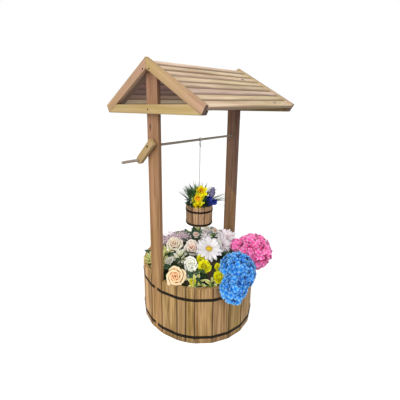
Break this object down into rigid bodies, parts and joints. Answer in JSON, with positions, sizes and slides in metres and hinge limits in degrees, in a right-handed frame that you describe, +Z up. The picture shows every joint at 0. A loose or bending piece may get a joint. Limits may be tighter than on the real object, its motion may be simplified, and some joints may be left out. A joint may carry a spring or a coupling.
{
  "type": "wishing well planter",
  "caption": "Wooden wishing well planter: round stave tub with steel half hoops, posts, slatted gable roof, cranked windlass and hanging flower bucket.",
  "frame": {"origin": "middle of the tub floor's underside, on the ground, on the tub's vertical axis", "axes": "+X along the ridge and the windlass rod, away from the crank; +Z up; the pictured side faces -X and -Y"},
  "size_m": [0.63, 0.6003, 1.1199],
  "materials": {
    "stave_wood": "stained softwood, matt, brown with darker seams",
    "post_wood": "planed softwood, matt, pinkish brown",
    "gable_wood": "planed pressure treated softwood, light tan",
    "slat_wood": "rounded battens, light tan with darker edges",
    "floor_wood": "sawn softwood",
    "arm_wood": "planed softwood, yellowish tan",
    "dowel_wood": "turned dowel, greyed",
    "bucket_wood": "small staves, light brown",
    "band_steel": "black painted steel band",
    "cord": "off-white twisted cord",
    "planting": "leaves, petals and compost"
  },
  "bodies": {
    "planter": {"tub_floor": "floor_wood", "tub_planting": "planting", "stave_front_1": "stave_wood", "stave_front_2a": "stave_wood", "stave_front_2b": "stave_wood", "stave_front_3": "stave_wood", "stave_front_4": "stave_wood", "stave_front_5": "stave_wood", "stave_front_6": "stave_wood", "stave_front_7": "stave_wood", "stave_front_8": "stave_wood", "stave_front_9": "stave_wood", "stave_front_10": "stave_wood", "stave_back_1": "stave_wood", "stave_back_2": "stave_wood", "stave_back_3": "stave_wood", "stave_back_4": "stave_wood", "stave_back_5": "stave_wood", "stave_back_6": "stave_wood", "stave_back_7": "stave_wood", "stave_back_8": "stave_wood", "stave_back_9": "stave_wood", "stave_back_10": "stave_wood", "hoop_upper_front": "band_steel", "hoop_upper_back": "band_steel", "hoop_lower_front": "band_steel", "hoop_lower_back": "band_steel", "post_crank": "post_wood", "post_far": "post_wood", "barge_crank_front": "gable_wood", "barge_crank_back": "gable_wood", "barge_far_front": "gable_wood", "barge_far_back": "gable_wood", "tie_crank": "gable_wood", "tie_far": "gable_wood", "slat_front_1": "slat_wood", "slat_front_2": "slat_wood", "slat_front_3": "slat_wood", "slat_front_4": "slat_wood", "slat_front_5": "slat_wood", "slat_front_6": "slat_wood", "slat_front_7": "slat_wood", "slat_front_8": "slat_wood", "slat_back_1": "slat_wood", "slat_back_2": "slat_wood", "slat_back_3": "slat_wood", "slat_back_4": "slat_wood", "slat_back_5": "slat_wood", "slat_back_6": "slat_wood", "slat_back_7": "slat_wood", "slat_back_8": "slat_wood"},
    "windlass": {"windlass_rod": "dowel_wood", "crank_arm": "arm_wood", "crank_handle": "dowel_wood"},
    "rope_line": {"rope": "cord"},
    "bucket": {"bucket_bail": "cord", "bucket_shell": "bucket_wood", "bucket_hoop_upper": "band_steel", "bucket_hoop_lower": "band_steel", "bucket_planting": "planting"}
  },
  "joints": [
    {"name": "crank_turn", "type": "hinge", "parent": "planter", "child": "windlass", "pos_m": [0, 0, 0.81], "axis": [1, 0, 0], "range_deg": [0, 1145]},
    {"name": "rope_swing", "type": "hinge", "parent": "planter", "child": "rope_line", "pos_m": [0.008, 0, 0.81], "axis": [1, 0, 0], "range_deg": [-20, 20]},
    {"name": "bucket_lift", "type": "slide", "parent": "rope_line", "child": "bucket", "axis": [0, 0, 1], "range_m": [0, 0.14], "deforming": ["rope"]}
  ],
  "couplings": [
    {"joint": "bucket_lift", "follows": "crank_turn", "m_per_rad": 0.007}
  ]
}
